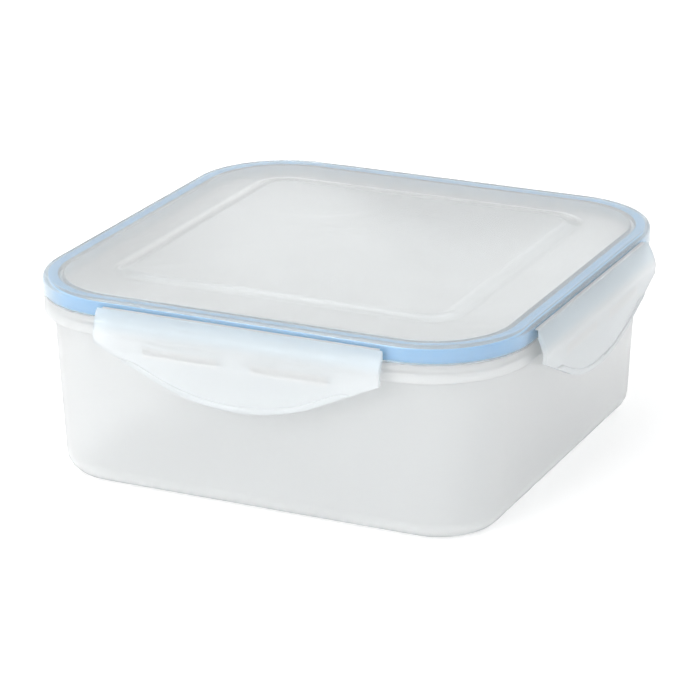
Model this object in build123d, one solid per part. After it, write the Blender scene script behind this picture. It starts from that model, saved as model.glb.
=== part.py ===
from build123d import *
import os
from math import radians, tan

# A square food box with a lid that four hinged clips hold down on a soft seal.
# Z is up, the origin is the middle of the base, and the front clip faces -Y.
# Sizes are in millimetres and degrees. A half is the distance from a middle plane
# to a wall, a level is a height above the table, and a reach is a distance out from
# the lid's skirt.

# Plan shape: all walls are rounded squares. The corners of the lid and the rim share four
# centres, and the tub's walls share four of their own
lid_side = 165.0
corner_centre = 50.0
wall_centre = 54.0

# Tub
tub_height = 60.0
tub_wall = 1.6
tub_floor = 1.6
tub_draft = 2.9
base_radius = 6.5
recess_slack = 1.0
recess_extra_depth = 0.3

# Rim of the tub: a level web carries the sealing lip and the collar that the clips grip
collar_height = 6.2
collar_wall = 1.4
collar_inset = 0.2
web_drop = 1.4
web_thickness = 1.6
lip_thickness = 1.4
lip_offset = 0.64
lip_rise = 2.6
lip_round = 0.4
collar_round = 0.4

# Lid
lid_wall = 1.6
lid_top = 1.4
lid_edge_radius = 1.5
lid_gap = 0.2
plug_wall = 1.6
plug_clearance = 0.6
panel_foot_half = 59.8
panel_corner = 11.8
panel_slope_run = 3.8
panel_height = 1.0
panel_foot_round = 6.0
panel_edge_round = 2.0
skirt_round = 0.3

# Seal: a ring with a groove that sits over the lip
seal_leg = 0.9
seal_web = 2.0
seal_side_gap = 0.1
seal_bottom_gap = 0.3
seal_round = 0.35

# Clips, and the thin hinge strip between each clip and the lid
clip_width = 97.4
clip_wall = 1.6
hinge_drop = 2.3
hinge_reach = 0.8
strip_thickness = 0.5
strip_width = 94.0
root_reach = 1.5
root_rise = 0.25
shoulder_reach = 3.5
shoulder_drop = 3.1
crease_reach = 4.8
crease_drop = 7.3
flap_depth = 18.9
flap_tuck = 1.2
flap_edge_radius = 66.0
flap_arc_width = 56.0
bead_width = 2.1
bead_length = 82.0
bead_proud = 0.5
hook_start = 5.0
hook_length = 27.0
hook_thickness = 1.9
hook_gap = 0.3
hook_grip = 1.0
hook_chamfer = 0.6

# How far an edge may lie from a level when it's picked for rounding
edge_slack = 0.001

# Levels
web_top = tub_height - web_drop
web_bottom = web_top - web_thickness
collar_bottom = tub_height - collar_height
lip_top = tub_height + lip_rise
skirt_bottom = tub_height + lid_gap
ceiling = lip_top + seal_web
lid_level = ceiling + lid_top
plug_bottom = web_top + plug_clearance
seal_bottom = tub_height + seal_bottom_gap
hinge_level = lid_level - hinge_drop
crease_level = hinge_level - crease_drop
flap_bottom = crease_level - flap_depth
flap_reach = crease_reach - flap_tuck
hook_top = collar_bottom - hook_gap
recess_depth = panel_height + recess_extra_depth

# Halves, from the lid's outer face inwards
lid_half = lid_side / 2
collar_half = lid_half - collar_inset
channel_outer = lid_half - lid_wall
lip_outer = channel_outer - seal_leg - seal_side_gap
lip_inner = lip_outer - lip_thickness
channel_inner = lip_inner - seal_side_gap - seal_leg
plug_inner = channel_inner - plug_wall
wall_at_web = lip_inner - lip_offset
lean = tan(radians(tub_draft))
base_half = wall_at_web - web_bottom * lean
panel_centre = panel_foot_half - panel_corner
recess_half = panel_foot_half + recess_slack

# Reach of the hooks, counted from the skirt's outer face like every reach
hook_tip = -collar_inset - hook_grip


def rounded_square(half, centre=corner_centre):
    """A square with round corners about their shared centres."""
    return RectangleRounded(2 * half, 2 * half, half - centre)


def block(half, low, high):
    """A straight rounded square from one level to another."""
    return Pos(0, 0, low) * extrude(rounded_square(half), amount=high - low)


def ring(outer, inner, low, high):
    """A straight rounded square ring from one level to another."""
    return block(outer, low, high) - block(inner, low, high)


def leaning_block(half, low, high):
    """A rounded square that grows with height as the tub's walls do."""
    foot = rounded_square(half, wall_centre)
    return Pos(0, 0, low) * extrude(foot, amount=high - low, taper=-tub_draft)


def tapered_pad(half, level, height):
    """A low pad on a level, with the same long slope all round as the lid's panel."""
    top_half = half - panel_slope_run
    foot = Pos(0, 0, level) * rounded_square(half, panel_centre)
    top = Pos(0, 0, level + height) * rounded_square(top_half, panel_centre)
    return loft([foot, top], ruled=True)


def edges_at(shape, level):
    """The edges of a shape that lie at one level."""
    return shape.edges().filter_by_position(Axis.Z, level - edge_slack, level + edge_slack)


def within(edge, half):
    """Whether an edge of the lid or the rim runs inside a rounded square."""
    middle = edge.position_at(0.5)
    x = max(abs(middle.X) - corner_centre, 0)
    y = max(abs(middle.Y) - corner_centre, 0)
    return (x * x + y * y) ** 0.5 < half - corner_centre


def make_tub():
    """The open box: leaning walls, a recessed base and the stepped rim with its collar."""
    body = leaning_block(base_half, 0, web_top)
    body = fillet(edges_at(body, 0), base_radius)
    inner_half = base_half + tub_floor * lean - tub_wall
    cavity = leaning_block(inner_half, tub_floor, web_top + tub_wall)
    cavity = fillet(edges_at(cavity, tub_floor), base_radius - tub_wall)
    body += block(collar_half, web_bottom, web_top)
    body += ring(collar_half, collar_half - collar_wall, collar_bottom, tub_height)
    body += ring(lip_outer, lip_inner, web_bottom, lip_top)
    body -= cavity
    body += tapered_pad(recess_half + tub_floor / 2, tub_floor, recess_depth)
    body -= tapered_pad(recess_half, 0, recess_depth)
    body = fillet(edges_at(body, lip_top), lip_round)
    collar_edges = edges_at(body, collar_bottom) + edges_at(body, tub_height)
    band_middle = collar_half - collar_wall / 2
    return fillet(collar_edges.filter_by(lambda edge: not within(edge, band_middle)), collar_round)


def make_lid():
    """The lid: a thin top with a raised panel, an outer skirt and an inner plug wall."""
    body = block(lid_half, skirt_bottom, lid_level)
    body = fillet(edges_at(body, lid_level), lid_edge_radius)
    body = fillet(edges_at(body, skirt_bottom), skirt_round)
    body += tapered_pad(panel_foot_half, lid_level, panel_height)
    body = fillet(edges_at(body, lid_level + panel_height), panel_edge_round)
    margin_middle = (panel_foot_half + lid_half) / 2
    foot_edges = edges_at(body, lid_level).filter_by(lambda edge: within(edge, margin_middle))
    body = fillet(foot_edges, panel_foot_round)
    body -= ring(channel_outer, channel_inner, skirt_bottom, ceiling)
    body += ring(channel_inner, plug_inner, plug_bottom, ceiling)
    body -= block(plug_inner, skirt_bottom, ceiling)
    body -= tapered_pad(panel_foot_half - lid_top / 2, ceiling, panel_height)
    return body


def make_seal():
    """The soft ring in the lid's channel, grooved underneath for the tub's lip."""
    body = ring(channel_outer, channel_inner, seal_bottom, ceiling)
    body -= ring(lip_outer + seal_side_gap, lip_inner - seal_side_gap, seal_bottom, lip_top)
    return fillet(edges_at(body, seal_bottom), seal_round)


def front_point(reach, level):
    """A point of a clip's cross-section: how far it stands out from the skirt, and its level."""
    return (-(lid_half + reach), level)


def front_outline(*points):
    """A cross-section with straight sides, from its reach and level at each corner."""
    return make_face(Polyline(*[front_point(*point) for point in points], close=True))


def front_bar(near, far, low, high):
    """An upright rectangle of the cross-section."""
    return front_outline((near, low), (far, low), (far, high), (near, high))


def across_front(face, width):
    """A cross-section of the front clip, carried along the side of the box."""
    return extrude(Plane.YZ * face, amount=width / 2, both=True)


def front_block(depth):
    """A clip's outline in the front view, cut to a flap depth and carried through the front."""
    half = clip_width / 2
    arc_half = flap_arc_width / 2
    arc_height = (flap_edge_radius**2 - arc_half**2) ** 0.5
    bottom = crease_level - depth
    arc_end = bottom + flap_edge_radius - arc_height
    corner = arc_end + (half - arc_half) * arc_half / arc_height
    outline = [
        Line((-half, corner), (-half, lid_level)),
        Line((-half, lid_level), (half, lid_level)),
        Line((half, lid_level), (half, corner)),
        Line((half, corner), (arc_half, arc_end)),
        ThreePointArc((arc_half, arc_end), (0, bottom), (-arc_half, arc_end)),
        Line((-arc_half, arc_end), (-half, corner)),
    ]
    return extrude(Plane.XZ * make_face(outline), amount=2 * lid_half)


def clip_section():
    """The clip's wall in cross-section: an arc over the shoulder, then the flap."""
    root = front_point(root_reach, hinge_level + root_rise)
    shoulder = front_point(shoulder_reach, hinge_level - shoulder_drop)
    crease = front_point(crease_reach, crease_level)
    flap_end = front_point(flap_reach, flap_bottom)
    outer_face = Curve() + [ThreePointArc(root, shoulder, crease), Line(crease, flap_end)]
    wall = make_face(offset(outer_face, amount=clip_wall, side=Side.LEFT, closed=True))
    return wall - front_bar(0, root_reach, crease_level, lid_level)


def make_clip():
    """The front clip: a curved shoulder, a rounded flap with a bead, and two hooks."""
    clip_block = front_block(flap_depth)
    body = across_front(clip_section(), clip_width) & clip_block

    bead = front_outline(
        (crease_reach, crease_level),
        (flap_reach, flap_bottom),
        (flap_reach + bead_proud, flap_bottom),
        (crease_reach + bead_proud, crease_level),
    )
    edge_band = clip_block - front_block(flap_depth - bead_width)
    body += across_front(bead, bead_length) & edge_band

    round_root = Pos(*front_point(hinge_reach, hinge_level)) * Circle(hinge_reach)
    body -= across_front(round_root, clip_width)

    hook_bottom = hook_top - hook_thickness
    hook = front_outline(
        (crease_reach - clip_wall / 2, hook_top),
        (hook_tip, hook_top),
        (hook_tip, hook_bottom + hook_chamfer),
        (hook_tip + hook_chamfer, hook_bottom),
        (crease_reach - clip_wall / 2, hook_bottom),
    )
    for side in (-1, 1):
        middle = side * (hook_start + hook_length / 2)
        body += Pos(middle, 0, 0) * across_front(hook, hook_length)
    return body


def make_strip():
    """The thin hinge strip of the front clip, round where it meets the clip."""
    high = hinge_level + root_rise
    low = high - strip_thickness
    flat = front_bar(0, hinge_reach, low, high)
    nose = Pos(*front_point(hinge_reach, hinge_level)) * Circle(hinge_reach)
    nose &= front_bar(hinge_reach, 2 * hinge_reach, low, high)
    return across_front(flat + nose, strip_width)


os.makedirs("parts", exist_ok=True)
clip = make_clip()
strip = make_strip()
pieces = {"tub": make_tub(), "lid": make_lid(), "seal": make_seal()}
for turn, side in enumerate(("front", "right", "rear", "left")):
    pieces[side + "_clip"] = Rot(0, 0, 90 * turn) * clip
    pieces[side + "_hinge_strip"] = Rot(0, 0, 90 * turn) * strip
for name, shape in pieces.items():
    export_step(shape, f"parts/{name}.step")
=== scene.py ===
from math import acos, atan2, cos, pi, radians, sin, sqrt, tan

import bmesh
import bpy
from mathutils import Matrix, Vector


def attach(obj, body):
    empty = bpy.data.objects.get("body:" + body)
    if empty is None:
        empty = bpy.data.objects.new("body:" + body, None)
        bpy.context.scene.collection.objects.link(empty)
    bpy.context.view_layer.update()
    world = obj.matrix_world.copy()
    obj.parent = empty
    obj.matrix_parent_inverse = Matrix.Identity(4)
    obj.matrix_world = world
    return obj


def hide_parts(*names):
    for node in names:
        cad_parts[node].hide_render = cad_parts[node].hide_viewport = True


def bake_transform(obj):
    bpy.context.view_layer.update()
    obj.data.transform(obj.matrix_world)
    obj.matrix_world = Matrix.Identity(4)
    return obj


bl_info = {
    "name": "Clip-lid food box",
    "version": (1, 0, 0),
    "blender": (4, 5, 0),
    "location": "3D View > Sidebar > Food box",
    "description": "Builds a see-through food box with a sealed lid and four hinged clips",
    "category": "Object",
}

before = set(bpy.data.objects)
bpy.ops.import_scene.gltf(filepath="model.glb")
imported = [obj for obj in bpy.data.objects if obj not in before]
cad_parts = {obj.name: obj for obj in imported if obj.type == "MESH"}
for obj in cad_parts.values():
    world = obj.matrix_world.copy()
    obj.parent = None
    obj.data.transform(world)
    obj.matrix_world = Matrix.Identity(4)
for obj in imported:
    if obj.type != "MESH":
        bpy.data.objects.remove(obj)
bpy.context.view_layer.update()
MM = 0.001
TAB = "Food box"

# Mesh fineness, and the small roundings of moulded edges. A share is a fraction of a length
WELD = 0.0005 * MM
SHARP_ANGLE = radians(38)
HOLD = 0.12 * MM
HOLD_SHARE = 0.02
ROOM_SHARE = 0.45
ARC_STEPS = 5
SHOULDER_STEPS = 16
FLAP_STEPS = 9
BEAD_STEPS = 5
END_STEPS = 5
EDGE_STEPS = 5
HOOK_STEPS = 3
BETWEEN_STEPS = 3
COLUMN_STEP = 2.2 * MM
BEAD_ROUND = 0.55 * MM
BEAD_ROUND_SHARE = 0.4
BEAD_FULL_SHARE = 0.5
BEAD_FLAT_SHARE = 0.3
EDGE_ROUND = 0.6 * MM
EDGE_RUN = 4 * EDGE_ROUND
END_ROUND = 0.45 * MM
HOOK_ROUND = 0.25 * MM
HOOK_CHAMFER = 0.6 * MM
HOOK_FROST_DEPTH = 0.8 * MM
CONCAVE = 0.3 * MM
CONVEX = 0.4 * MM
FINE = 0.2 * MM
SOFT = 1.5 * MM
FLAT_START = 2.0 * MM
HINGE_GAP = 0.02 * MM
HINGE_WAIST = 0.16 * MM
WAIST_TOP_SHARE = 0.4
HINGE_STEPS = 10
HINGE_COLUMNS = 4
SIDES = ("front", "right", "rear", "left")

# Finishes: how fine the patterns are, in patches a metre, and how strongly they show
FLOW_SCALE = 22.0
FLOW_SWIRL = 1.4
FLOW_SHADE = 0.975
FLOW_ROUGH_LOW = 0.88
FLOW_ROUGH_SPAN = 0.24
WAVE_STRENGTH = 0.12
WAVE_HEIGHT = 0.6 * MM
GRAIN_SCALE = 1400.0
GRAIN_STRENGTH = 0.012
GRAIN_HEIGHT = 0.1 * MM
PLASTIC_IOR = 1.49
CLOUD_SCALE = 60.0
CLOUD_SHADE = 1.12
SILICONE_ROUGH = 0.35
SILICONE_ROUGH_SPAN = 0.1
SILICONE_IOR = 1.42
TOOTH_SCALE = 300.0
TOOTH_SHADE = 0.995
PAPER_ROUGH = 0.9

# Stage
TABLE_REACH = 6.0
TABLE_GAP = 0.02 * MM
SENSOR_WIDTH = 36.0
SOFTBOX_PLACE = (-0.33, -1.41, 0.70)
WINDOW_PLACE = (-0.6, -0.4, 1.4)


def length(name, description, millimetres):
    """A size setting, in metres with its default given in millimetres."""
    return bpy.props.FloatProperty(
        name=name, description=description, default=millimetres * MM, min=0.0,
        unit="LENGTH", subtype="DISTANCE", precision=5,
    )


def share(name, description, default):
    """A setting from 0 to 1."""
    return bpy.props.FloatProperty(
        name=name, description=description, default=default, min=0.0, max=1.0, subtype="FACTOR",
    )


def colour(name, description, default):
    """A colour setting, as linear red, green and blue."""
    return bpy.props.FloatVectorProperty(
        name=name, description=description, default=default, min=0.0, max=1.0,
        size=3, subtype="COLOR",
    )


class FoodBoxSizes(bpy.types.PropertyGroup):
    """Sizes of the box. A half is measured from a middle plane, a level from the table."""

    corner_centre: length("Corner centre", "Half at which the lid's corners have their centres", 50)
    wall_centre: length("Wall corner centre", "The same for the corners of the tub's walls", 54)
    panel_centre: length("Panel corner centre", "The same for the panel and the recess", 48)
    corner_steps: bpy.props.IntProperty(
        name="Corner steps", description="Faces round each corner", default=28, min=4)

    recess_half: length("Recess", "Half width of the recess under the base", 60.8)
    recess_depth: length("Recess depth", "How far the recess goes up", 1.3)
    panel_slope: length("Panel slope", "Run of the slope round the panel and the recess", 3.8)
    base_half: length("Base", "Half width the walls would have on the table", 74.972)
    base_radius: length("Base radius", "Rounding between wall and base", 6.5)
    wall_half: length("Wall", "Half width of the wall under the rim", 77.86)
    tub_wall: length("Tub wall", "Wall thickness of the tub", 1.6)
    web_low: length("Web underside", "Level of the rim's underside", 57)
    web_top: length("Web top", "Level of the rim's shelf", 58.6)
    collar_low: length("Collar foot", "Level of the collar's lower edge", 53.8)
    collar_top: length("Collar top", "Level of the collar's upper edge", 60)
    collar_inner: length("Collar inside", "Half width inside the collar", 80.9)
    collar_half: length("Collar outside", "Half width outside the collar", 82.3)
    lip_outer: length("Lip outside", "Half width outside the sealing lip", 79.9)
    lip_inner: length("Lip inside", "Half width inside the sealing lip", 78.5)
    lip_top: length("Lip top", "Level of the sealing lip's top", 62.6)

    lid_half: length("Lid", "Half width of the lid", 82.5)
    lid_level: length("Lid top", "Level of the lid's flat margin", 66)
    lid_ceiling: length("Lid ceiling", "Level of the lid's underside", 64.6)
    lid_radius: length("Lid edge", "Rounding of the lid's outer edge", 1.5)
    skirt_low: length("Skirt foot", "Level of the skirt's lower edge", 60.2)
    skirt_inner: length("Skirt inside", "Half width inside the skirt", 80.9)
    plug_outer: length("Plug outside", "Half width outside the plug wall", 77.5)
    plug_inner: length("Plug inside", "Half width inside the plug wall", 75.9)
    plug_low: length("Plug foot", "Level of the plug wall's lower edge", 59.2)
    panel_half: length("Panel", "Half width of the raised panel's foot", 59.8)
    panel_rise: length("Panel rise", "Height of the raised panel", 1)
    panel_foot_round: length("Panel foot", "Rounding at the foot of the panel's slope", 10)
    panel_edge_round: length("Panel edge", "Rounding at the top of the panel's slope", 7)

    seal_low: length("Seal foot", "Level of the seal's lower edges", 60.3)
    seal_leg: length("Seal leg", "Thickness of the seal's two legs", 0.9)
    seal_gap: length("Seal gap", "Air between the seal and the lid", 0.04)

    clip_width: length("Clip width", "Length of a clip along its side", 97.4)
    clip_wall: length("Clip wall", "Wall thickness of a clip", 1.6)
    root_reach: length("Clip root reach", "How far out a clip starts", 1.5)
    root_level: length("Clip root level", "Level at which a clip starts", 63.95)
    shoulder_reach: length("Shoulder reach", "How far out the shoulder's middle is", 3.5)
    shoulder_level: length("Shoulder level", "Level of the shoulder's middle", 60.6)
    crease_reach: length("Crease reach", "How far out the flap starts", 4.8)
    crease_level: length("Crease level", "Level at which the flap starts", 56.4)
    flap_reach: length("Flap reach", "How far out the flap ends", 3.6)
    flap_depth: length("Flap depth", "Depth of the flap in its middle", 18.9)
    edge_radius: length("Flap edge radius", "Radius of the flap's lower edge", 66)
    arc_width: length("Flap arc width", "Width of the edge's arc, between its straight ends", 56)
    bead_width: length("Bead width", "Width of the bead along the lower edge", 2.1)
    bead_length: length("Bead length", "Distance between the ends of the bead", 82)
    bead_taper: length("Bead taper", "Length over which each end of the bead narrows", 7)
    bead_proud: length("Bead", "How far the bead stands proud", 0.5)
    hook_start: length("Hook start", "Distance of each hook from the clip's middle", 5)
    hook_length: length("Hook length", "Length of each hook", 27)
    hook_top: length("Hook top", "Level of the hooks' upper face", 53.5)
    hook_thickness: length("Hook thickness", "Thickness of a hook", 1.9)
    hook_tip: length("Hook grip", "How far a hook reaches in behind the skirt's face", 1.2)
    hinge_reach: length("Hinge reach", "Distance of a hinge's axis from the skirt", 0.8)
    strip_width: length("Hinge strip width", "Length of a hinge strip", 94)
    strip_thickness: length("Hinge strip thickness", "Thickness of a hinge strip", 0.5)


class FoodBoxFinish(bpy.types.PropertyGroup):
    """Colours and finishes."""

    plastic: colour("Plastic", "Colour of the see-through plastic", (0.984, 0.996, 0.999))
    lid_plastic: colour("Lid plastic", "Colour of the lid's plastic", (0.962, 0.985, 0.992))
    clip_plastic: colour("Clip plastic", "Colour of the clips' plastic", (0.952, 0.981, 0.996))
    tub_clear: share("Tub clearness", "How much light goes straight into the tub's plastic", 0.74)
    lid_clear: share("Lid clearness", "How much light goes straight into the lid's plastic", 0.80)
    clip_clear: share("Clip clearness", "How much light goes straight into the clips' plastic", 0.66)
    hinge_clear: share("Hinge clearness", "How much light goes straight into the hinges' plastic", 0.60)
    tub_rough: share("Tub frost", "Roughness of the tub's skin", 0.315)
    lid_rough: share("Lid frost", "Roughness of the lid's skin", 0.20)
    clip_rough: share("Clip frost", "Roughness of the clips' and hinges' skin", 0.33)
    flap_frost: share("Flap frost", "More roughness on the clips' flaps", 0.12)
    deep_frost: share("Deep frost", "More roughness on the clips' hooks and the tub's foot", 0.5)
    # Painted pale blue on the clips' shoulders, standing in for the seal's light seen through the clip
    shoulder_painted_seal_light: colour("Seal glow", "Colour that the clips' shoulders take from the seal behind",
                      (0.87, 0.95, 1.0))
    # Painted pale blue on the lid's rim, standing in for the seal's light seen through the plastic
    rim_painted_seal_light: colour("Rim glow", "Colour that the lid's rim takes from the seal under it",
                     (0.85, 0.945, 1.0))
    silicone: colour("Seal", "Colour of the soft seal", (0.05, 0.52, 0.98))
    floor: colour("Floor", "Colour of the table and backdrop", (0.93, 0.93, 0.93))


class FoodBoxStudio(bpy.types.PropertyGroup):
    """Camera and lights."""

    camera_place: bpy.props.FloatVectorProperty(
        name="Camera place", description="Where the camera stands", size=3, subtype="TRANSLATION",
        unit="LENGTH", default=(0.409221, -0.879907, 0.380439))
    camera_right: bpy.props.FloatVectorProperty(
        name="Camera right", description="Direction of the camera's right-hand side", size=3,
        subtype="XYZ", default=(0.90687, 0.42138, -0.00444))
    camera_up: bpy.props.FloatVectorProperty(
        name="Camera up", description="Direction of the camera's upper side", size=3,
        subtype="XYZ", default=(-0.13956, 0.31025, 0.94036))
    camera_lens: bpy.props.FloatProperty(
        name="Lens", description="Focal length in millimetres, on a 36 mm sensor", default=160.9)
    softbox_power: bpy.props.FloatProperty(
        name="Softbox power", description="Power of the lamp left of the camera", default=7.0,
        unit="POWER")
    softbox_size: length("Softbox size", "Side of the lamp left of the camera", 700)
    window_power: bpy.props.FloatProperty(
        name="Window power", description="Power of the lamp above the left side", default=6.0,
        unit="POWER")
    window_size: length("Window size", "Side of the lamp above the left side", 600)
    sky: share("Sky", "Strength of the light from all round", 0.92)
    table_glow: share("Table glow", "Light that comes up through the white table", 0.28)


class Wire:
    """A socket of a node tree. Expressions on wires add the Math nodes they need."""

    def __init__(self, tree, socket):
        self.tree, self.socket = tree, socket

    def maths(self, operation, first, second):
        return self.tree.maths(operation, first, second)

    def __add__(self, other):
        return self.maths("ADD", self, other)

    def __radd__(self, other):
        return self.maths("ADD", other, self)

    def __sub__(self, other):
        return self.maths("SUBTRACT", self, other)

    def __rsub__(self, other):
        return self.maths("SUBTRACT", other, self)

    def __mul__(self, other):
        return self.maths("MULTIPLY", self, other)

    def __rmul__(self, other):
        return self.maths("MULTIPLY", other, self)

    def __abs__(self):
        return self.maths("ABSOLUTE", self, None)


class Shader:
    """The node tree of one material or of the world."""

    def __init__(self, owner):
        owner.use_nodes = True
        self.tree = owner.node_tree
        self.tree.nodes.clear()

    def add(self, kind, settings=None, inputs=None, output=0):
        """Adds a node, with its settings made first, and returns one of its outputs."""
        node = self.tree.nodes.new(kind)
        for key, value in (settings or {}).items():
            setattr(node, key, value)
        for key, value in (inputs or {}).items():
            if isinstance(value, Wire):
                self.tree.links.new(value.socket, node.inputs[key])
            elif value is not None:
                node.inputs[key].default_value = value
        return Wire(self, node.outputs[output] if len(node.outputs) else None)

    def maths(self, operation, first, second):
        return self.add("ShaderNodeMath", {"operation": operation}, {0: first, 1: second})

    def step(self, value, low, high):
        """A soft step from 0 at the low value to 1 at the high one."""
        return self.add(
            "ShaderNodeMapRange", {"interpolation_type": "SMOOTHSTEP"},
            {"Value": value, "From Min": low, "From Max": high},
        )

    def tint(self, factor, first, second):
        """A blend of two colours."""
        return self.add(
            "ShaderNodeMix", {"data_type": "RGBA"}, {0: factor, 6: first, 7: second}, output=2
        )


def rgba(values, gain=1.0):
    """A colour setting as red, green, blue and a full alpha."""
    return (*(min(v * gain, 1.0) for v in values), 1.0)


def moulded_plastic(name, finish, sizes, part, shade, clear, rough):
    """Frosted see-through polypropylene with faint flow marks and a fine-grained skin.

    The lid's rim and the clips' shoulders get a painted pale blue that stands in for the seal's light
    seen through them. The clips' flaps are frosted a little more, and their hooks and the tub's foot
    much more. A flap gets a painted lighter patch over its hooks, standing in for light scattered in the
    thick plastic there."""
    material = bpy.data.materials.new(name)
    shader = Shader(material)
    place = shader.add("ShaderNodeTexCoord", output=3)
    flow = shader.add(
        "ShaderNodeTexNoise", None,
        {"Vector": place, "Scale": FLOW_SCALE, "Detail": 2.0, "Distortion": FLOW_SWIRL},
    )
    grain = shader.add("ShaderNodeTexNoise", None, {"Vector": place, "Scale": GRAIN_SCALE, "Detail": 3.0})
    base = shader.tint(flow, rgba(shade), rgba(shade, FLOW_SHADE))
    x, y, level = (
        shader.add("ShaderNodeSeparateXYZ", None, {"Vector": place}, output=k) for k in range(3)
    )
    rough = rough * FLOW_ROUGH_LOW + flow * (rough * FLOW_ROUGH_SPAN)
    frost = shader.step(level, sizes.base_radius, 0.0)
    if part == "lid":
        corner = shader.add("ShaderNodeCombineXYZ", None, {
            "X": shader.maths("MAXIMUM", abs(x) - sizes.corner_centre, 0.0),
            "Y": shader.maths("MAXIMUM", abs(y) - sizes.corner_centre, 0.0),
        })
        half = sizes.corner_centre + shader.add(
            "ShaderNodeVectorMath", {"operation": "LENGTH"}, {0: corner}, output=1
        )
        # Painted light: this mask tints the lid's rim with a painted blue standing in for the seal's light
        # seen through it
        rim = shader.step(half, sizes.plug_inner, sizes.plug_outer)
        base = shader.tint(rim, base, rgba(finish.rim_painted_seal_light))
    if part == "clip":
        # Painted light: this mask tints the shoulders with a painted blue standing in for the seal's light
        # behind them
        glow = shader.step(level, sizes.crease_level, sizes.seal_low)
        base = shader.tint(glow, base, rgba(finish.shoulder_painted_seal_light))
        across = shader.maths("MAXIMUM", abs(x), abs(y))
        along = shader.maths("MINIMUM", abs(x), abs(y))
        flap_inside = sizes.lid_half + sizes.crease_reach - sizes.clip_wall
        below = shader.step(level, sizes.crease_level, sizes.hook_top + CONVEX)
        frost = below * shader.step(across, flap_inside, flap_inside - HOOK_FROST_DEPTH)
        rough = rough + below * finish.flap_frost
        hook_low, hook_end = sizes.hook_top - sizes.hook_thickness, sizes.hook_start + sizes.hook_length
        # Painted lighter patch over the hooks, standing in for light scattered in the thicker plastic there
        hook_painted_light = (
            shader.step(along, sizes.hook_start - CONVEX, sizes.hook_start + SOFT)
            * shader.step(along, hook_end + CONVEX, hook_end - SOFT)
            * shader.step(level, hook_low - SOFT, hook_low)
            * shader.step(level, sizes.hook_top + SOFT, sizes.hook_top)
        )
        base = shader.tint(hook_painted_light, base, rgba(finish.plastic))
    rough = rough + frost * finish.deep_frost
    waves = shader.add(
        "ShaderNodeBump", None, {"Strength": WAVE_STRENGTH, "Distance": WAVE_HEIGHT, "Height": flow}
    )
    skin = shader.add(
        "ShaderNodeBump", None,
        {"Strength": GRAIN_STRENGTH, "Distance": GRAIN_HEIGHT, "Height": grain, "Normal": waves},
    )
    plastic = shader.add(
        "ShaderNodeBsdfPrincipled", None,
        {
            "Base Color": base,
            "Roughness": rough,
            "IOR": PLASTIC_IOR,
            "Transmission Weight": clear,
            "Normal": skin,
        },
    )
    shader.add("ShaderNodeOutputMaterial", None, {"Surface": plastic})
    return material


def soft_silicone(finish):
    """Pale blue silicone, smooth and slightly waxy."""
    material = bpy.data.materials.new("soft_seal_silicone")
    shader = Shader(material)
    place = shader.add("ShaderNodeTexCoord", output=3)
    cloud = shader.add("ShaderNodeTexNoise", None, {"Vector": place, "Scale": CLOUD_SCALE, "Detail": 2.0})
    base = shader.tint(cloud, rgba(finish.silicone), rgba(finish.silicone, CLOUD_SHADE))
    silicone = shader.add(
        "ShaderNodeBsdfPrincipled", None,
        {"Base Color": base, "Roughness": SILICONE_ROUGH + cloud * SILICONE_ROUGH_SPAN, "IOR": SILICONE_IOR},
    )
    shader.add("ShaderNodeOutputMaterial", None, {"Surface": silicone})
    return material


def round_corner(back, here, ahead, radius, steps):
    """The points of an arc that rounds the corner between three points."""
    back, here, ahead = Vector(back), Vector(here), Vector(ahead)
    to_back, to_ahead = back - here, ahead - here
    room = ROOM_SHARE * min(to_back.length, to_ahead.length)
    if radius <= 0 or room <= 0:
        return [here] * (steps + 1)
    to_back.normalize()
    to_ahead.normalize()
    half_turn = (pi - to_back.angle(to_ahead)) / 2
    radius = min(radius, room / tan(half_turn))
    reach = radius * tan(half_turn)
    centre = here + (to_back + to_ahead).normalized() * (radius / cos(half_turn))
    start = here + to_back * reach - centre
    left = to_back.x * to_ahead.y - to_back.y * to_ahead.x < 0
    points = []
    for k in range(steps + 1):
        angle = 2 * half_turn * k / steps * (1 if left else -1)
        points.append(centre + Matrix.Rotation(angle, 2) @ start)
    return points


def rounded_outline(corners, closed=False):
    """A line through corners (half, level, radius, centre), each rounded by an arc of its radius.

    The points are (half, level, centre). One just before and one just after each arc keep the
    flat faces beside it shaded flat."""
    points = []
    count = len(corners)
    for i, (x, y, radius, centre) in enumerate(corners):
        if not closed and i in (0, count - 1):
            points.append((x, y, centre))
            continue
        back, ahead = corners[i - 1][:2], corners[(i + 1) % count][:2]
        line = round_corner(back, (x, y), ahead, radius, ARC_STEPS)
        before, after = Vector(back) - line[0], Vector(ahead) - line[-1]
        line.insert(0, line[0] + before.normalized() * min(HOLD, before.length * HOLD_SHARE))
        line.append(line[-1] + after.normalized() * min(HOLD, after.length * HOLD_SHARE))
        points += [(*point, centre) for point in line]
    return points


def square_loop(half, level, centre, steps):
    """One turn round the box at a half and a level, with round corners."""
    loop = []
    for quarter, (x_side, y_side) in enumerate(((1, 1), (-1, 1), (-1, -1), (1, -1))):
        for k in range(steps + 1):
            angle = pi / 2 * (quarter + k / steps)
            loop.append((
                x_side * centre + (half - centre) * cos(angle),
                y_side * centre + (half - centre) * sin(angle),
                level,
            ))
    return loop


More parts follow.
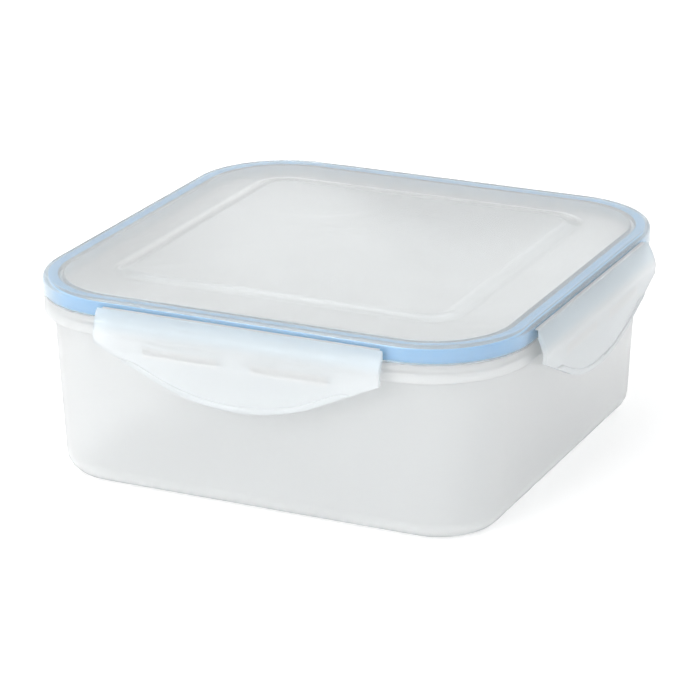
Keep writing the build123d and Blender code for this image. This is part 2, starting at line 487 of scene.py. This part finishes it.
def make_piece(name, vertices, faces, material, body, replaced, place=None):
    """Puts a mesh in the scene as a smooth closed piece that stands for a CAD node."""
    mesh = bpy.data.meshes.new(name)
    mesh.from_pydata(vertices, [], faces)
    tidy = bmesh.new()
    tidy.from_mesh(mesh)
    bmesh.ops.remove_doubles(tidy, verts=tidy.verts, dist=WELD)
    bmesh.ops.recalc_face_normals(tidy, faces=tidy.faces)
    if place is not None:
        tidy.transform(place)
    open_edges = sum(not edge.is_manifold for edge in tidy.edges)
    if open_edges:
        raise RuntimeError(f"{name} has {open_edges} open edges")
    tidy.to_mesh(mesh)
    tidy.free()
    mesh.shade_smooth()
    mesh.set_sharp_from_angle(angle=SHARP_ANGLE)
    mesh.materials.append(material)
    piece = bpy.data.objects.new(name, mesh)
    bpy.context.scene.collection.objects.link(piece)
    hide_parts(replaced)
    if body:
        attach(piece, body)
    return piece


def rings_to_faces(count, around, closed=False):
    """Quads between rings of equally many points. Closed joins the last ring to the first, and
    else a face covers each end."""
    faces = []
    for row in range(count if closed else count - 1):
        a, b = row * around, (row + 1) % count * around
        for k in range(around):
            n = (k + 1) % around
            faces.append((a + k, a + n, b + n, b + k))
    if not closed:
        faces.append(tuple(range(around)))
        faces.append(tuple((count - 1) * around + k for k in range(around)))
    return faces


def turned_square(name, outline, sizes, material, body, replaced, ring=False):
    """A piece with the same cross-section all round the box.

    The outline starts and ends over the flat middle of the box, or is a closed ring."""
    loops = [square_loop(*point, sizes.corner_steps) for point in outline]
    vertices = [place for loop in loops for place in loop]
    faces = rings_to_faces(len(loops), len(loops[0]), closed=ring)
    make_piece(name, vertices, faces, material, body, replaced)


def smooth(t):
    """A soft step from 0 to 1."""
    t = min(max(t, 0.0), 1.0)
    return t * t * (3 - 2 * t)


class ClipShape:
    """The cross-sections of a clip, as (reach, level), at any place along its side."""

    def __init__(self, sizes):
        self.sizes = sizes
        a = Vector((sizes.root_reach, sizes.root_level))
        b = Vector((sizes.shoulder_reach, sizes.shoulder_level))
        c = Vector((sizes.crease_reach, sizes.crease_level))
        twice_area = 2 * (a.x * (b.y - c.y) + b.x * (c.y - a.y) + c.x * (a.y - b.y))
        aa, bb, cc = a.length_squared, b.length_squared, c.length_squared
        self.centre = Vector((
            (aa * (b.y - c.y) + bb * (c.y - a.y) + cc * (a.y - b.y)) / twice_area,
            (aa * (c.x - b.x) + bb * (a.x - c.x) + cc * (b.x - a.x)) / twice_area,
        ))
        self.radius = (a - self.centre).length
        self.last_angle = atan2(c.y - self.centre.y, c.x - self.centre.x)
        self.lean = (sizes.crease_reach - sizes.flap_reach) / sizes.flap_depth
        self.crease = c

    def shoulder_point(self, share, depth, start_reach):
        """A point of the shoulder's arc, sunk by a depth, from the root (0) to the crease (1)."""
        radius = self.radius - depth
        first_angle = acos((start_reach - self.centre.x) / radius)
        angle = first_angle + (self.last_angle - first_angle) * share
        return self.centre + Vector((cos(angle), sin(angle))) * radius

    def flap_point(self, level, depth):
        """A point of the flap at a level, sunk by a depth."""
        reach = self.crease.x - self.lean * (self.crease.y - level)
        return Vector((reach - depth * sqrt(1 + self.lean**2), level))

    def edge_level(self, x):
        """The level of the flap's lower edge: an arc in the middle with straight ends."""
        radius, arc_half = self.sizes.edge_radius, self.sizes.arc_width / 2
        away = min(abs(x), arc_half)
        arc_height = sqrt(radius**2 - away**2)
        straight = (abs(x) - away) * arc_half / sqrt(radius**2 - arc_half**2)
        return self.crease.y - self.sizes.flap_depth + radius - arc_height + straight

    def bead_top(self, x):
        """How far the bead reaches up from the lower edge."""
        room = self.sizes.bead_length / 2 - abs(x)
        return self.sizes.bead_width * smooth(room / self.sizes.bead_taper)

    def bead(self, low, top):
        """The bead's outline from its upper edge down to the start of the lower rounding."""
        sizes = self.sizes
        width = top - low
        proud = sizes.bead_proud * smooth(width / (BEAD_FULL_SHARE * sizes.bead_width))
        rise = min(BEAD_ROUND, BEAD_ROUND_SHARE * width)
        points = []
        for k in range(BEAD_STEPS + 1):
            angle = pi / 2 * k / BEAD_STEPS
            points.append((top - rise * (1 - cos(angle)), proud * sin(angle)))
        points.append((top - rise - BEAD_FLAT_SHARE * (width - rise), proud))
        return points, proud

    def hook(self, shrink):
        """A hook's outline, from its lower root round its tip to its upper root."""
        sizes = self.sizes
        low = sizes.hook_top - sizes.hook_thickness + shrink
        high = sizes.hook_top - shrink
        tip = -sizes.hook_tip + shrink
        root_low = self.flap_point(low, sizes.clip_wall)
        root_high = self.flap_point(high, sizes.clip_wall)
        corners = [
            Vector((tip + HOOK_CHAMFER, low)),
            Vector((tip, low + HOOK_CHAMFER)),
            Vector((tip, high)),
        ]
        line = [root_low] + corners + [root_high]
        points = [root_low, root_low.lerp(corners[0], 0.5)]
        for k in (1, 2, 3):
            points += round_corner(line[k - 1], line[k], line[k + 1], HOOK_ROUND, HOOK_STEPS)
        return points + [corners[-1].lerp(root_high, 0.5), root_high]

    def section(self, x, inset, shrink=None):
        """The whole ring at a place along the side. inset thins it near the clip's ends, and
        shrink is None away from the hooks, and else by how much the hook is smaller here."""
        sizes = self.sizes
        wall = sizes.clip_wall - inset
        low = self.edge_level(x) + inset
        top = low + self.bead_top(x)
        root = sizes.root_reach + inset
        ring = [self.shoulder_point(k / SHOULDER_STEPS, inset, root) for k in range(SHOULDER_STEPS + 1)]
        for k in range(1, FLAP_STEPS):
            level = self.crease.y + (top + HOLD - self.crease.y) * k / (FLAP_STEPS - 1)
            ring.append(self.flap_point(min(level, self.crease.y), inset))
        bead, proud = self.bead(low, top)
        ring += [self.flap_point(level, inset - out) for level, out in bead]
        edge_out = self.flap_point(low, inset - proud)
        edge_in = self.flap_point(low, wall)
        ring += round_corner(ring[-1], edge_out, edge_in, EDGE_ROUND, EDGE_STEPS)
        above = self.flap_point(low + EDGE_RUN, wall)
        ring += round_corner(edge_out, edge_in, above, EDGE_ROUND, EDGE_STEPS)
        start = ring[-1].y
        hook_low = sizes.hook_top - sizes.hook_thickness
        for k in range(1, FLAP_STEPS):
            level = start + (hook_low - start) * k / FLAP_STEPS
            ring.append(self.flap_point(max(level, start), wall))
        outline = self.hook(shrink or 0.0)
        if shrink is None:
            last = len(outline) - 1
            outline = [
                self.flap_point(max(hook_low + sizes.hook_thickness * k / last, start), wall)
                for k in range(last + 1)
            ]
        ring += outline
        ring.append(self.flap_point(max((outline[-1].y + self.crease.y) / 2, start), wall))
        ring += [
            self.shoulder_point(1 - k / SHOULDER_STEPS, wall, root) for k in range(SHOULDER_STEPS + 1)
        ]
        return ring

    def stations(self):
        """Every place along the side that has a cross-section, with its inset and hook."""
        sizes = self.sizes
        half = sizes.clip_width / 2
        ends, hooks = [], []
        for k in range(END_STEPS + 1):
            angle = pi / 2 * k / END_STEPS
            ends.append((half - END_ROUND * (1 - sin(angle)), END_ROUND * (1 - cos(angle)), None))
        near, far = sizes.hook_start, sizes.hook_start + sizes.hook_length
        for k in range(END_STEPS + 1):
            angle = pi / 2 * k / END_STEPS
            shift, shrink = HOOK_ROUND * (1 - sin(angle)), HOOK_ROUND * (1 - cos(angle))
            hooks.append((near + shift, 0.0, shrink))
            hooks.append((far - shift, 0.0, shrink))
        hooks.sort()
        count = round(hooks[-1][0] / COLUMN_STEP)
        middle = [(near + (far - near) * k / count, 0.0, 0.0) for k in range(1, count)]
        inner_side = [(near * k / BETWEEN_STEPS, 0.0, None) for k in range(1, BETWEEN_STEPS + 1)]
        outer_count = round((half - far) / COLUMN_STEP)
        outer_side = [(far + (half - END_ROUND - far) * k / outer_count, 0.0, None)
                      for k in range(outer_count)]
        right = inner_side + sorted(hooks + middle) + outer_side + ends
        left = [(-x, inset, shrink) for x, inset, shrink in reversed(right)]
        return left + [(0.0, 0.0, None)] + right


def side_turn(side):
    """The turn that carries a piece of the front side to another side of the box."""
    return Matrix.Rotation(pi / 2 * SIDES.index(side), 4, "Z")


def make_clip(side, shape, sizes, material):
    """One clip as a closed shell, on its own body."""
    rings, vertices = [], []
    for x, inset, shrink in shape.stations():
        ring = shape.section(x, inset, shrink)
        rings.append(ring)
        vertices += [(x, -(sizes.lid_half + reach), level) for reach, level in ring]
    around = len(rings[0])
    if any(len(ring) != around for ring in rings):
        raise RuntimeError("the clip's cross-sections differ in their number of points")
    faces = rings_to_faces(len(rings), around)
    make_piece(
        side + "_clip_flap", vertices, faces, material,
        side + "_clip", side + "_clip", side_turn(side),
    )


def make_hinge(side, sizes, material):
    """One thin hinge strip, waisted in its middle, between lid and clip."""
    half = sizes.strip_width / 2
    end = sizes.root_reach - HINGE_GAP
    top, bottom = [], []
    for k in range(HINGE_STEPS + 1):
        t = k / HINGE_STEPS
        waist = HINGE_WAIST * (1 - (2 * t - 1) ** 2)
        reach = HINGE_GAP + (end - HINGE_GAP) * t
        top.append((reach, sizes.root_level - waist * WAIST_TOP_SHARE))
        below = sizes.root_level - sizes.strip_thickness
        bottom.append((reach, below + waist * (1 - WAIST_TOP_SHARE)))
    ring = top + bottom[::-1]
    places = [half * (2 * k / HINGE_COLUMNS - 1) for k in range(HINGE_COLUMNS + 1)]
    vertices = [(x, -(sizes.lid_half + reach), level) for x in places for reach, level in ring]
    faces = rings_to_faces(len(places), len(ring))
    strip = make_piece(
        side + "_hinge_bend", vertices, faces, material,
        None, side + "_hinge_strip", side_turn(side),
    )
    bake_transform(strip)


def tub_outline(sizes):
    """The tub's cross-section, from the middle of the base round the rim to the inner floor."""
    lean = (sizes.wall_half - sizes.base_half) / sizes.web_low
    floor = sizes.tub_wall
    panel, wall, rim = sizes.panel_centre, sizes.wall_centre, sizes.corner_centre
    flat = panel + FLAT_START

    def inside(level):
        return sizes.base_half - sizes.tub_wall + level * lean

    over = sizes.recess_half + floor / 2
    return rounded_outline([
        (flat, sizes.recess_depth, 0, panel),
        (sizes.recess_half - sizes.panel_slope, sizes.recess_depth, SOFT, panel),
        (sizes.recess_half, 0, SOFT, panel),
        (sizes.base_half, 0, sizes.base_radius, wall),
        (sizes.wall_half, sizes.web_low, CONCAVE, wall),
        (sizes.collar_inner, sizes.web_low, CONCAVE, rim),
        (sizes.collar_inner, sizes.collar_low, FINE, rim),
        (sizes.collar_half, sizes.collar_low, CONVEX, rim),
        (sizes.collar_half, sizes.collar_top, CONVEX, rim),
        (sizes.collar_inner, sizes.collar_top, FINE, rim),
        (sizes.collar_inner, sizes.web_top, CONCAVE, rim),
        (sizes.lip_outer, sizes.web_top, CONCAVE, rim),
        (sizes.lip_outer, sizes.lip_top, CONVEX, rim),
        (sizes.lip_inner, sizes.lip_top, CONVEX, rim),
        (sizes.lip_inner, sizes.web_top, FINE, rim),
        (inside(sizes.web_top), sizes.web_top, FINE, wall),
        (inside(floor), floor, sizes.base_radius - sizes.tub_wall, wall),
        (over, floor, SOFT, panel),
        (over - sizes.panel_slope, floor + sizes.recess_depth, SOFT, panel),
        (flat, floor + sizes.recess_depth, 0, panel),
    ])


def lid_outline(sizes):
    """The lid's cross-section, from the middle of the panel round the skirt to the underside."""
    panel, rim = sizes.panel_centre, sizes.corner_centre
    flat = panel + FLAT_START
    panel_top = sizes.lid_level + sizes.panel_rise
    under = sizes.panel_half - (sizes.lid_level - sizes.lid_ceiling) / 2
    return rounded_outline([
        (flat, panel_top, 0, panel),
        (sizes.panel_half - sizes.panel_slope, panel_top, sizes.panel_edge_round, panel),
        (sizes.panel_half, sizes.lid_level, sizes.panel_foot_round, panel),
        (sizes.lid_half, sizes.lid_level, sizes.lid_radius, rim),
        (sizes.lid_half, sizes.skirt_low, CONCAVE, rim),
        (sizes.skirt_inner, sizes.skirt_low, CONCAVE, rim),
        (sizes.skirt_inner, sizes.lid_ceiling, FINE, rim),
        (sizes.plug_outer, sizes.lid_ceiling, FINE, rim),
        (sizes.plug_outer, sizes.plug_low, CONVEX, rim),
        (sizes.plug_inner, sizes.plug_low, CONVEX, rim),
        (sizes.plug_inner, sizes.lid_ceiling, CONVEX, rim),
        (under, sizes.lid_ceiling, sizes.panel_foot_round, panel),
        (under - sizes.panel_slope, sizes.lid_ceiling + sizes.panel_rise, sizes.panel_foot_round,
         panel),
        (flat, sizes.lid_ceiling + sizes.panel_rise, 0, panel),
    ])


def seal_outline(sizes):
    """The seal's cross-section: two legs and a bridge, with a groove that takes the tub's lip."""
    gap, leg = sizes.seal_gap, sizes.seal_leg
    outer, inner = sizes.skirt_inner - gap, sizes.plug_outer + gap
    top, low = sizes.lid_ceiling - gap, sizes.seal_low
    groove = sizes.lip_top + gap
    corners = [
        (outer, low, CONCAVE),
        (outer, top, CONCAVE),
        (inner, top, CONCAVE),
        (inner, low, CONCAVE),
        (sizes.plug_outer + leg, low, CONCAVE),
        (sizes.plug_outer + leg, groove, FINE),
        (sizes.skirt_inner - leg, groove, FINE),
        (sizes.skirt_inner - leg, low, CONCAVE),
    ]
    return rounded_outline([(*corner, sizes.corner_centre) for corner in corners], closed=True)


def finish_named(name):
    """The material of this name, made on its first use."""
    if name not in bpy.data.materials:
        finish, sizes = bpy.context.scene.food_box_finish, bpy.context.scene.food_box_sizes
        if name == "soft_seal_silicone":
            return soft_silicone(finish)
        part = name.split("_")[0]
        clear = getattr(finish, part + "_clear")
        shade = getattr(finish, part + "_plastic", finish.plastic)
        rough = getattr(finish, part + "_rough", finish.clip_rough)
        return moulded_plastic(name, finish, sizes, part, shade, clear, rough)
    return bpy.data.materials[name]


class FOODBOX_OT_tub(bpy.types.Operator):
    """Builds the open box with its recessed base, sealing lip and collar"""

    bl_idname = "food_box.tub"
    bl_label = "Tub"

    def execute(self, context):
        sizes = context.scene.food_box_sizes
        turned_square(
            "tub_shell", tub_outline(sizes), sizes, finish_named("tub_polypropylene"),
            "tub", "tub",
        )
        return {"FINISHED"}


class FOODBOX_OT_lid(bpy.types.Operator):
    """Builds the lid with its raised panel, outer skirt and plug wall"""

    bl_idname = "food_box.lid"
    bl_label = "Lid"

    def execute(self, context):
        sizes = context.scene.food_box_sizes
        turned_square(
            "lid_shell", lid_outline(sizes), sizes, finish_named("lid_polypropylene"),
            "lid", "lid",
        )
        return {"FINISHED"}


class FOODBOX_OT_seal(bpy.types.Operator):
    """Builds the soft seal in the lid's channel"""

    bl_idname = "food_box.seal"
    bl_label = "Seal"

    def execute(self, context):
        sizes = context.scene.food_box_sizes
        turned_square(
            "seal_ring", seal_outline(sizes), sizes, finish_named("soft_seal_silicone"),
            "lid", "seal", ring=True,
        )
        return {"FINISHED"}


class FOODBOX_OT_clips(bpy.types.Operator):
    """Builds the four clips with their beads and hooks"""

    bl_idname = "food_box.clips"
    bl_label = "Clips"

    def execute(self, context):
        sizes = context.scene.food_box_sizes
        shape = ClipShape(sizes)
        for side in SIDES:
            make_clip(side, shape, sizes, finish_named("clip_polypropylene"))
        return {"FINISHED"}


class FOODBOX_OT_hinges(bpy.types.Operator):
    """Builds the four thin hinge strips between the lid and the clips"""

    bl_idname = "food_box.hinges"
    bl_label = "Hinge strips"

    def execute(self, context):
        sizes = context.scene.food_box_sizes
        for side in SIDES:
            make_hinge(side, sizes, finish_named("hinge_polypropylene"))
        return {"FINISHED"}


def table_paper(finish, glow):
    """Matte white paper with a faint tooth, lit a little from below."""
    material = bpy.data.materials.new("white_table_paper")
    shader = Shader(material)
    place = shader.add("ShaderNodeTexCoord", output=3)
    tooth = shader.add("ShaderNodeTexNoise", None, {"Vector": place, "Scale": TOOTH_SCALE, "Detail": 2.0})
    base = shader.tint(tooth, rgba(finish.floor), rgba(finish.floor, TOOTH_SHADE))
    paper = shader.add(
        "ShaderNodeBsdfPrincipled", None,
        {
            "Base Color": base,
            "Roughness": PAPER_ROUGH,
            "Specular IOR Level": 0.0,
            "Emission Color": (1, 1, 1, 1),
            "Emission Strength": glow,
        },
    )
    shader.add("ShaderNodeOutputMaterial", None, {"Surface": paper})
    return material


def white_world(studio):
    """White all round: full white where it's seen, mirrored or looked at through plastic."""
    world = bpy.data.worlds.new("white_room")
    shader = Shader(world)
    seen = None
    for ray in ("Is Camera Ray", "Is Glossy Ray", "Is Transmission Ray"):
        way = shader.add("ShaderNodeLightPath", output=ray)
        seen = way if seen is None else shader.maths("MAXIMUM", seen, way)
    strength = studio.sky + seen * (1.0 - studio.sky)
    room = shader.add("ShaderNodeBackground", None, {"Color": (1, 1, 1, 1), "Strength": strength})
    shader.add("ShaderNodeOutputWorld", None, {"Surface": room})
    return world


def square_lamp(scene, name, place, size, power):
    """A square area lamp that faces the box."""
    lamp = bpy.data.lights.new(name, "AREA")
    lamp.shape = "SQUARE"
    lamp.size = size
    lamp.energy = power
    holder = bpy.data.objects.new(name, lamp)
    holder.location = place
    holder.rotation_euler = (-Vector(place)).to_track_quat("-Z", "Y").to_euler()
    scene.collection.objects.link(holder)


class FOODBOX_OT_stage(bpy.types.Operator):
    """Builds the table, the light and the camera"""

    bl_idname = "food_box.stage"
    bl_label = "Stage"

    def execute(self, context):
        scene = context.scene
        studio, finish = scene.food_box_studio, scene.food_box_finish
        scene.world = white_world(studio)
        mesh = bpy.data.meshes.new("table")
        reach = TABLE_REACH
        mesh.from_pydata(
            [(-reach, -reach, 0), (reach, -reach, 0), (reach, reach, 0), (-reach, reach, 0)],
            [], [(0, 1, 2, 3)],
        )
        mesh.materials.append(table_paper(finish, studio.table_glow))
        table = bpy.data.objects.new("table", mesh)
        table.location.z = -TABLE_GAP
        scene.collection.objects.link(table)

        square_lamp(scene, "softbox", SOFTBOX_PLACE, studio.softbox_size, studio.softbox_power)
        square_lamp(scene, "window", WINDOW_PLACE, studio.window_size, studio.window_power)

        lens = bpy.data.cameras.new("camera")
        lens.sensor_width = SENSOR_WIDTH
        lens.lens = studio.camera_lens
        camera = bpy.data.objects.new("camera", lens)
        right, up = Vector(studio.camera_right).normalized(), Vector(studio.camera_up).normalized()
        turn = Matrix((right, up, right.cross(up))).transposed().to_4x4()
        camera.matrix_world = Matrix.Translation(studio.camera_place) @ turn
        scene.collection.objects.link(camera)
        scene.camera = camera
        scene.view_settings.view_transform = "Standard"
        return {"FINISHED"}


class FOODBOX_PT_panel(bpy.types.Panel):
    """Lists the box's settings and the steps that build it"""

    bl_idname = "FOODBOX_PT_panel"
    bl_label = "Food box"
    bl_space_type = "VIEW_3D"
    bl_region_type = "UI"
    bl_category = TAB

    def draw(self, context):
        for step in STEPS:
            self.layout.operator(step.bl_idname)
        for group in GROUPS:
            settings = getattr(context.scene, group)
            column = self.layout.column(align=True)
            for key in settings.bl_rna.properties.keys():
                if key not in ("rna_type", "name"):
                    column.prop(settings, key)


STEPS = (
    FOODBOX_OT_tub, FOODBOX_OT_lid, FOODBOX_OT_seal, FOODBOX_OT_clips, FOODBOX_OT_hinges,
    FOODBOX_OT_stage,
)
GROUPS = {
    "food_box_sizes": FoodBoxSizes,
    "food_box_finish": FoodBoxFinish,
    "food_box_studio": FoodBoxStudio,
}


def register():
    for group, settings in GROUPS.items():
        bpy.utils.register_class(settings)
        setattr(bpy.types.Scene, group, bpy.props.PointerProperty(type=settings))
    for step in (*STEPS, FOODBOX_PT_panel):
        bpy.utils.register_class(step)


def unregister():
    for step in (FOODBOX_PT_panel, *reversed(STEPS)):
        bpy.utils.unregister_class(step)
    for group, settings in GROUPS.items():
        delattr(bpy.types.Scene, group)
        bpy.utils.unregister_class(settings)


def main():
    register()
    bpy.ops.food_box.stage()
    bpy.ops.food_box.tub()
    bpy.ops.food_box.lid()
    bpy.ops.food_box.seal()
    bpy.ops.food_box.clips()
    bpy.ops.food_box.hinges()


if __name__ == "__main__":
    main()
